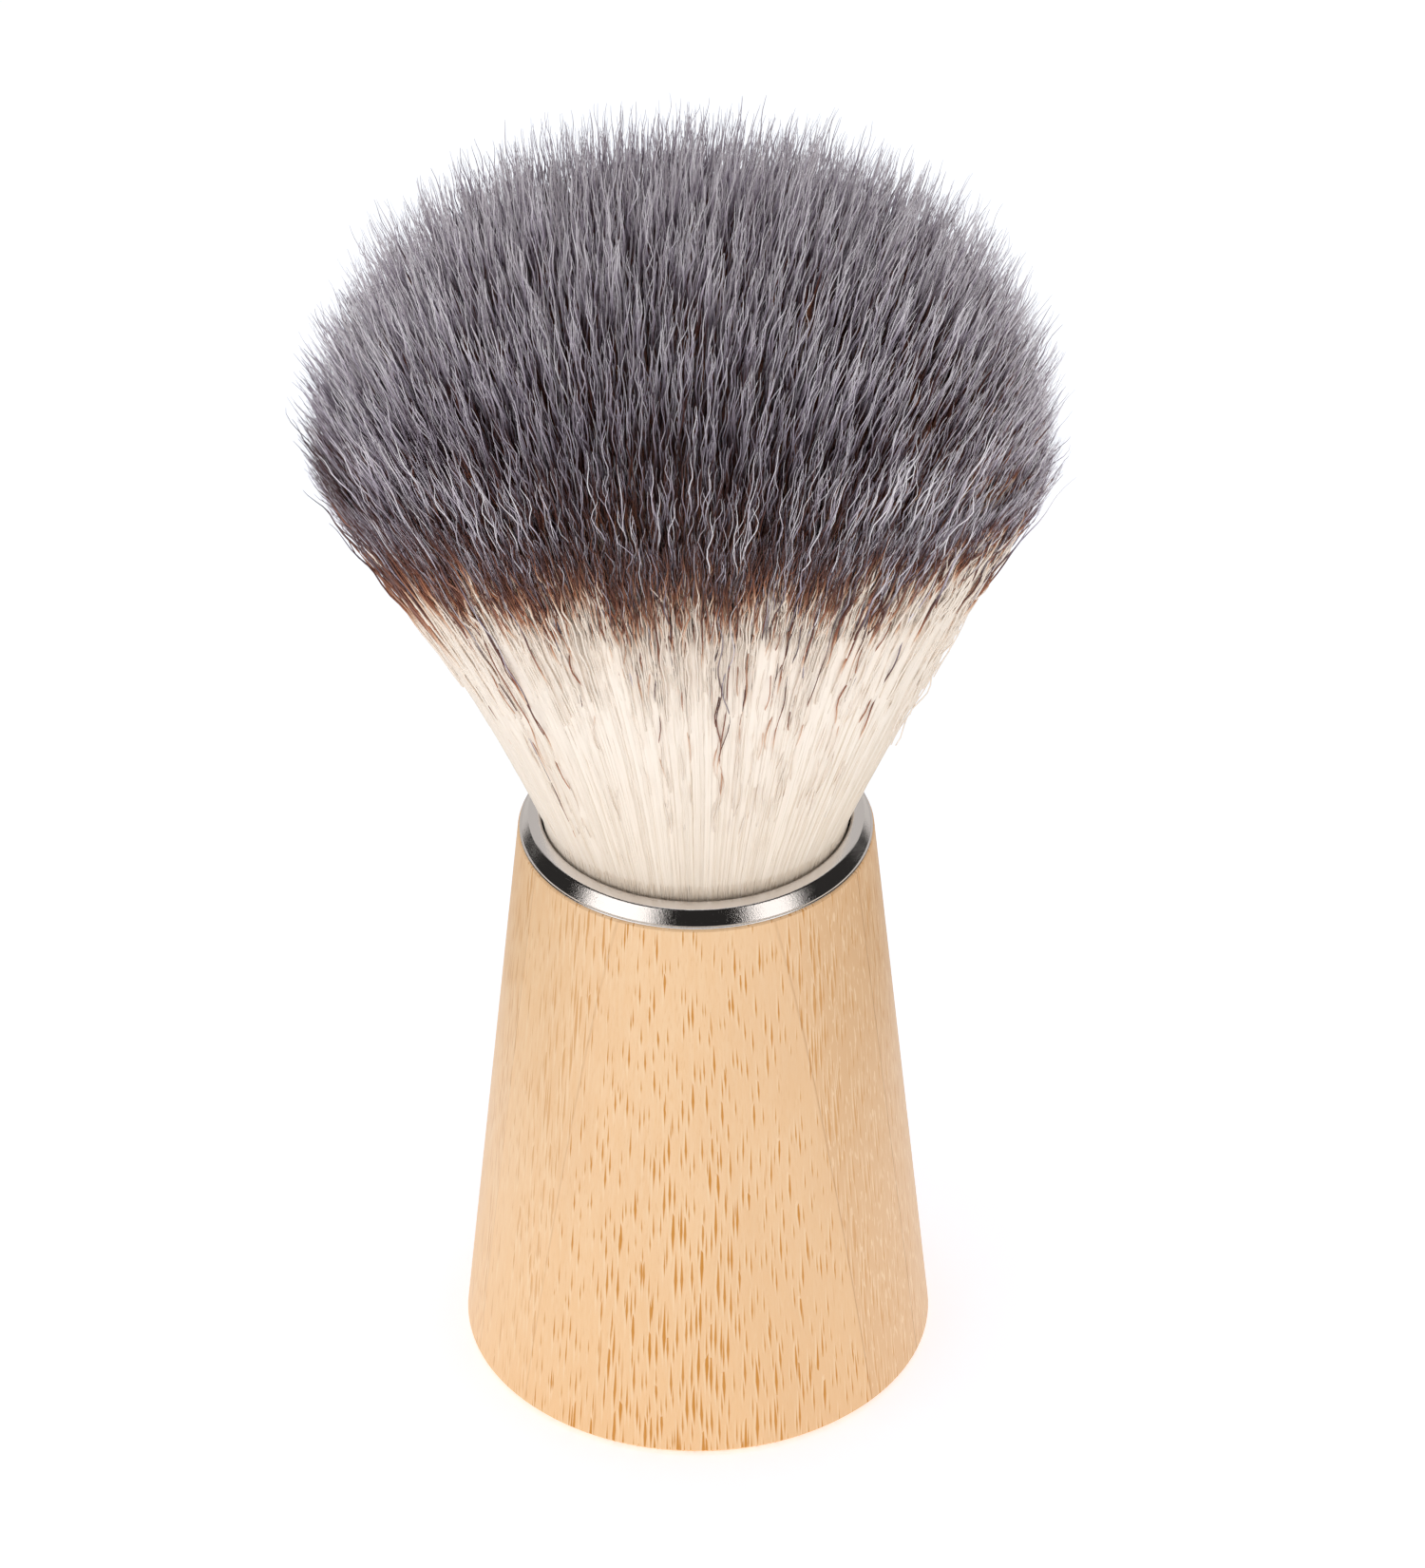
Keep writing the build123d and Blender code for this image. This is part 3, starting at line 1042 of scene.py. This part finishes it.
@dataclass
class Knot:
    """The knot: thousands of crimped hairs in locks, that open from the collar into a fan."""

    fan: Fan = Fan()
    dye: DyeMap = DyeMap()
    dyeing: Dyeing = Dyeing()
    finish: HairFinish = HairFinish()
    heart: Heart = Heart()
    seed: int = 11
    locks: int = 1400
    lock_scatter: float = 0.01  # how far a lock stands from its place in the spiral
    turn_scatter: float = 0.05  # how far a hair stands from its direction, in radians
    most_triangles: int = 190000  # in one piece
    root: float = 3.2  # how far under the lip the longest hairs start
    crowding: float = 1.25  # above 1, the stations of a hair stand closer near its tip
    tufts: float = 2.0  # how much lower one lock may end than the next
    firmness: Span = (0.3, 1.0)  # how much of their coat's pull the locks have
    pull_reach: float = 16.0  # how far from the tip the hairs of a lock draw together
    pull_curve: float = 1.6  # above 1, they draw together late
    stray_reach: float = 20.0  # how far from the tip they stray
    sink: float = 0.01  # how much further in the hairs lie whose bands end high
    girth: Span = (0.75, 1.2)  # of the hairs, times the thickness of their coat
    crimp_rest: float = 0.15  # the share of the crimp that is left far from the tip
    crimp_slip: float = 0.9  # how far the hairs of a lock are out of step, in radians
    crimp_luck: Span = (-0.1, 0.4)  # logarithm of the crimp's size: its middle and its spread
    sway: float = 0.3  # size of the longer waves, as a share of the crimp
    sway_wave: Span = (9.0, 18.0)  # from crest to crest
    coats: tuple[Coat, ...] = (
        Coat("wall", 4400, (0.972, 1.0), (0.0, 4.0), 18, 16.0, 0.19, 0.19, 0.25, 0.022, 2.8,
             dye_reach=(9.6, 12.8), crimp_reach=9.0),
        Coat("strands", 4200, (0.988, 1.0), (0.0, 3.5), 24, None, 0.1, 0.12, 0.1, 0.01, 2.8),
        Coat("fill", 4200, (0.84, 0.985), (0.0, 4.0), 18, 18.0, 0.18, 0.15, 0.4, 0.016, 2.4,
             dye_reach=(10.6, 13.5)),
        Coat("under", 9000, (0.0, 0.9), (3.0, 12.0), 12, 13.0, 0.18, 0.13, 0.45, 0.011, 5.0),
        Coat("guard", 9500, (0.0, 0.93), (-0.5, 4.5), 18, 16.0, 0.18, 0.13, 0.7, 0.011, 0.4,
             dye_reach=(12.0, 14.5)),
        Coat("fringe", 700, (0.88, 1.0), (-5.0, 0.5), 20, 18.0, 0.15, 0.18, 0.4, 0.02, 0.3,
             dye_reach=(10.5, 13.5), arc=(90.0, 54.0), bend=1.7),
        Coat("long_dyed", 84, (0.999, 1.006), (0.0, 5.0), 34, 27.0, 0.11, 0.2, 0.0, 0.02, 10.6,
             dye_reach=(12.0, 27.0), crimp_reach=40.0, tip_share=0.3, taper=8.0, wave=(5.0, 9.0),
             arc=(90.0, 46.0), bend=2.0),
        Coat("wisps", 36, (1.005, 1.04), (0.0, 6.0), 26, 19.0, 0.14, 0.2, 0.0, 0.03, 6.0,
             dye_reach=(18.0, 24.0), crimp_reach=24.0, tip_share=0.2, taper=8.0, wave=(5.0, 8.0),
             arc=(0.0, 42.0)),
    )

    def build(self) -> None:
        """Grow every coat of hair over the heart of the bundle."""
        material = self.finish.build()
        self.heart.build(self.fan, self.dye, material)
        rng = np.random.default_rng(self.seed)
        locks = self._locks(rng)
        for coat in self.coats:
            groups = self._grow(coat, locks, rng).split(self.most_triangles)
            for number, hairs in enumerate(groups, start=1):
                hairs.build(f"hair_{coat.name}_{number}", self.dye, material)

    def _locks(self, rng: Luck) -> Array:
        """Spread the middles of the locks over the bundle, in even spirals with some luck.

        Args:
            rng: Source of luck.

        Returns:
            The middles, with the bundle's edge at a radius of 1.
        """
        index = np.arange(self.locks) + 0.5
        flat = polar(np.sqrt(index / self.locks), index * GOLDEN_ANGLE)
        return flat + rng.normal(0, self.lock_scatter, flat.shape)

    def _plant(self, coat: Coat, rng: Luck) -> tuple[Array, Array]:
        """Spread the hairs of a coat over its ring, or over an arc of it and the arc's mirror image.

        Args:
            coat: The sort of hair.
            rng: Source of luck.

        Returns:
            Each hair's distance from the bundle's middle and its direction in radians.
        """
        index = np.arange(coat.count)
        share = (index + rng.uniform(0, 1, coat.count)) / coat.count
        inner, outer = coat.ring
        rho = np.sqrt(inner**2 + (outer**2 - inner**2) * share)
        azimuth = index * GOLDEN_ANGLE + rng.normal(0, self.turn_scatter, coat.count)
        if coat.arc:
            middle, half = coat.arc
            azimuth = np.radians(middle + half * rng.uniform(-1, 1, coat.count)) * (1 - 2 * (index % 2))
        return rho, azimuth

    def _grow(self, coat: Coat, locks: Array, rng: Luck) -> Hairs:
        """Lay out the hairs of one coat.

        Args:
            coat: The sort of hair.
            locks: Middles of the locks that the hairs lean to.
            rng: Source of luck.

        Returns:
            The hairs.
        """
        rho, azimuth = self._plant(coat, rng)
        flat = polar(rho, azimuth)
        tip = self.fan.tip(rho, azimuth) - rng.uniform(*coat.short, coat.count)
        length = np.full(coat.count, coat.length) if coat.length else tip + self.root
        distance = length[:, None] * np.linspace(0, 1, coat.stations) ** self.crowding
        height = tip[:, None] - distance
        nearest, home = self._nearest(flat, locks)
        drop = rng.uniform(0, self.tufts, len(locks))[nearest]
        if coat.length:
            height -= drop[:, None]
        dyed, luck = self.dyeing.spread(coat, rho, azimuth, nearest, len(locks), distance, rng)

        firmness = rng.uniform(*self.firmness, len(locks))[nearest]
        near = ramp(distance, self.pull_reach, 0)
        pull = coat.pull * firmness[:, None] * near**self.pull_curve
        free = ramp(distance, self.stray_reach, 0)[..., None]
        stray = rng.normal(0, coat.splay, (coat.count, 1, 2)) * free
        paths = flat[:, None] * (1 - pull[..., None]) + home[:, None] * pull[..., None] + stray
        paths *= 1 - self.sink * np.clip(luck, -1, 2)[:, None, None] * free
        centres = self.fan.place(paths, height)
        centres[..., :2] += self._crimp(coat, distance, nearest, rng)
        centres[..., :2] = np.clip(centres[..., :2], -np.array(self.fan.limit), self.fan.limit)

        thickness = coat.thickness * rng.uniform(*self.girth, coat.count)
        swell = ramp(distance, 0, coat.taper)
        swell = coat.tip_share + (1 - coat.tip_share) * swell * (2 - swell)
        column = rng.uniform(0, self.dye.columns, coat.count)
        return Hairs(centres, thickness[:, None] / 2 * swell, dyed, column)

    @staticmethod
    def _nearest(flat: Array, locks: Array) -> tuple[Array, Array]:
        """Find the lock that each hair belongs to.

        Args:
            flat: Places of the hairs in the bundle.
            locks: Middles of the locks.

        Returns:
            The number of each hair's lock, and that lock's middle.
        """
        nearest = np.concatenate([
            np.argmin(((part[:, None] - locks[None]) ** 2).sum(-1), axis=1)
            for part in np.array_split(flat, 8)])
        return nearest, locks[nearest]

    def _crimp(self, coat: Coat, distance: Array, lock: Array, rng: Luck) -> Array:
        """Wave the hairs from side to side, partly in step within a lock.

        Args:
            coat: The sort of hair.
            distance: Distance of each station from the tip.
            lock: The lock of each hair.
            rng: Source of luck.

        Returns:
            Sideways moves in millimetres: a crimp that fades down the hair, on a longer sway.
        """
        count = len(distance)
        shared = rng.uniform(0, 2 * math.pi, (lock.max() + 1, 2))[lock]
        fade = np.exp(-(distance / coat.crimp_reach) ** 2)
        fade = self.crimp_rest + (1 - self.crimp_rest) * fade
        moves = []
        for axis in range(2):
            wave = rng.uniform(*coat.wave, count)[:, None]
            phase = (shared[:, axis] + rng.normal(0, self.crimp_slip, count))[:, None]
            size = coat.crimp * rng.lognormal(*self.crimp_luck, count)[:, None] * fade
            crimp = size * np.sin(2 * math.pi * distance / wave + phase)
            wave = rng.uniform(*self.sway_wave, count)[:, None]
            phase = rng.uniform(0, 6.28, count)[:, None]
            sway = self.sway * size * np.sin(2 * math.pi * distance / wave + phase)
            moves.append(crimp + sway)
        return np.stack(moves, axis=-1)


# ---------------------------------------------------------------- studio
class Side(Enum):
    """The sides of the studio that a soft box stands on: its direction in degrees and strength."""

    LEFT = (-50.5, 0.416)
    RIGHT = (52.0, 0.144)


@dataclass(frozen=True)
class Lamp:
    """A soft lamp, in metres, that the camera and the metal don't see."""

    name: str
    place: Point
    target: Point
    size: Span
    strength: float
    shape: str = "RECTANGLE"

    def build(self) -> None:
        """Hang the lamp at its place, turned to its target."""
        data = bpy.data.lights.new(self.name, "AREA")
        data.shape = self.shape
        data.size, data.size_y = self.size
        area = math.prod(self.size) * (math.pi / 4 if self.shape == "DISK" else 1)
        data.energy = self.strength * area * math.pi
        lamp = bpy.data.objects.new(self.name, data)
        lamp.location = self.place
        aim = Vector(self.target) - Vector(self.place)
        lamp.rotation_euler = aim.to_track_quat("-Z", "Y").to_euler()
        lamp.visible_camera = lamp.visible_glossy = False
        bpy.context.scene.collection.objects.link(lamp)


@dataclass(frozen=True)
class Card:
    """A curved card round the brush, dark or bright, that only the polished metal sees."""

    name: str
    ends: Span  # in degrees round from the front
    foot: Span  # how far out its lower edge stands, and how high
    head: Span  # the same for its upper edge
    glow: float
    rows: int = 6
    columns: int = 25

    def build(self) -> None:
        """Bend the card round the brush and hide it from everything but reflections."""
        cloth = Paint(f"card_{self.name}")
        glow = {"Color": (1.0, 0.93, 0.87, 1), "Strength": self.glow}
        material = cloth.show(cloth.node("ShaderNodeEmission", None, glow))
        turns = np.radians(np.linspace(*self.ends, self.columns))
        share = np.linspace(0, 1, self.rows)[:, None]
        reach, rise = (low + (high - low) * share for low, high in zip(self.foot, self.head))
        points = np.stack([reach * np.sin(turns), -reach * np.cos(turns),
                           np.broadcast_to(rise, (self.rows, self.columns))], axis=-1)
        faces = grid_faces(self.rows, self.columns, closed=False)
        card = make_object(f"flag_{self.name}", points, [faces], material)
        card.visible_camera = card.visible_diffuse = card.visible_shadow = False
        card.visible_transmission = card.visible_volume_scatter = False


@dataclass
class Studio:
    """A pale sweep, two soft boxes, a soft top light, and a camera where the picture was taken."""

    aim: Point = (1.2983, 0.0, 52.7483)
    elevation: float = 0.6192
    distance: float = 602.57
    roll: float = -0.0027
    focal_pixels: float = 8084.1
    frame_height: int = 1650
    sensor: float = 36.0
    surround: float = 0.68
    floor_sides: int = 96
    floor_radius: float = 1700.0
    floor_level: float = -0.15
    box_distance: float = 0.62
    box_height: float = 0.275
    box_target: Point = (0, 0, 0.16)
    box_size: Span = (0.565, 0.52)
    lamps: tuple[Lamp, ...] = (
        Lamp("top_light", (0.0, 0.12, 0.85), (0, 0, 0.08), (0.8, 0.6), 0.35),
        Lamp("table_bounce", (0, 0, -0.0001), (0, 0, 1.0), (1.0, 1.0), 0.6, "DISK"),
    )
    cards: tuple[Card, ...] = (
        Card("front", (-25, 32.5), (700, 0.3), (700, 600), 0.025),
        Card("left", (-118, -70.5), (700, 0.3), (700, 600), 0.03),
        Card("right", (64, 118), (700, 0.3), (700, 600), 0.03),
        Card("left_floor", (-134, -70.5), (60, 0.1), (700, 0.2), 0.03),
        Card("right_floor", (64, 134), (60, 0.1), (700, 0.2), 0.03),
        Card("above", (-118, 118), (690, 545), (330, 800), 0.025),
        Card("left_box", (-72, -24), (740, 0.3), (740, 620), 1.5),
        Card("right_box", (31, 66), (740, 0.3), (740, 620), 1.4),
        Card("back", (112, 248), (720, 0.3), (720, 900), 0.62),
        Card("back_floor", (134, 226), (60, 0.1), (700, 0.2), 0.62),
    )

    def build(self) -> None:
        """Set up everything that isn't part of the brush."""
        self._camera()
        self._world()
        self._floor()
        for side in Side:
            self._softbox(side)
        for piece in (*self.lamps, *self.cards):
            piece.build()
        bpy.context.scene.view_settings.view_transform = "Standard"

    def _camera(self) -> None:
        """Stand the camera where the picture's ellipses say that it stood."""
        back = Vector((0, -math.cos(self.elevation), math.sin(self.elevation)))
        up = Vector((1, 0, 0)).cross(-back)
        right = Vector((1, 0, 0)) * math.cos(self.roll) + up * math.sin(self.roll)
        upright = back.cross(right)
        data = bpy.data.cameras.new("camera")
        data.sensor_width = self.sensor
        data.lens = self.focal_pixels / self.frame_height * self.sensor
        data.clip_start, data.clip_end = 0.05, 20.0
        camera = bpy.data.objects.new("camera", data)
        place = (Vector(self.aim) + back * self.distance) * MM
        axes = Matrix((right, upright, back)).transposed()
        camera.matrix_world = Matrix.Translation(place) @ axes.to_4x4()
        bpy.context.scene.collection.objects.link(camera)
        bpy.context.scene.camera = camera

    def _world(self) -> None:
        """Surround the brush with an even white that lights it at a plain level."""
        world = bpy.data.worlds.new("studio")
        bpy.context.scene.world = world
        world.use_nodes = True
        tree = NodeTree(world.node_tree)
        strength = self.surround + self._seen(tree) * (1.0 - self.surround)
        sky = tree.node("ShaderNodeBackground", None, {"Color": (1, 1, 1, 1), "Strength": strength})
        tree.node("ShaderNodeOutputWorld", None, {"Surface": sky.outputs[0]})

    @staticmethod
    def _seen(tree: NodeTree) -> Term:
        """Tell what the camera sees straight, in metal or through glass.

        Args:
            tree: The nodes being built.

        Returns:
            1 for such rays and 0 for light that falls on something else.
        """
        rays = tree.node("ShaderNodeLightPath")
        kinds = ("Is Camera Ray", "Is Glossy Ray", "Is Transmission Ray")
        camera, glossy, passed = (Term(tree, rays.outputs[kind]) for kind in kinds)
        return camera.math("MAXIMUM", camera.math("MAXIMUM", camera, glossy), passed)

    def _floor(self) -> None:
        """Lay a round floor that looks white but keeps the brush's soft shadow."""
        sweep = Paint("white_sweep")
        seen = self._seen(sweep)
        grain = sweep.noise(sweep.node("ShaderNodeTexCoord").outputs["Object"], 40.0)
        tint = sweep.blend(grain * 0.03, (0.93, 0.93, 0.93, 1), (0.89, 0.89, 0.89, 1))
        matte = sweep.node("ShaderNodeBsdfDiffuse", None, {"Color": tint})
        camera = sweep.term("ShaderNodeLightPath", output="Is Camera Ray")
        cool = sweep.blend(camera, (0.32, 0.32, 0.32, 1), (0.33, 0.36, 0.42, 1))
        glow = sweep.node("ShaderNodeEmission", None, {"Color": cool, "Strength": seen})
        both = sweep.node("ShaderNodeAddShader", None, {0: matte.outputs[0], 1: glow.outputs[0]})

        side = np.arange(self.floor_sides)
        rim = polar(self.floor_radius, side * 2 * math.pi / self.floor_sides)
        points = np.insert(rim, 2, self.floor_level, axis=1)
        make_object("floor", points, [side[None]], sweep.show(both))

    def _softbox(self, side: Side) -> None:
        """Stand a tall soft box to one side of the camera.

        Args:
            side: The side.
        """
        direction, strength = side.value
        turn = math.radians(direction)
        place = (math.sin(turn) * self.box_distance, -math.cos(turn) * self.box_distance, self.box_height)
        Lamp(f"softbox_{side.name.lower()}", place, self.box_target, self.box_size, strength).build()


def main() -> None:
    """Build the brush from the base up, then the studio; the pieces log their face counts as they are
    made.
    """
    logging.basicConfig(level=logging.INFO, format="%(name)s %(message)s")
    Handle().build()
    Collar().build()
    KnotRoot().build()
    Knot().build()
    Studio().build()


if __name__ == "__main__":
    main()
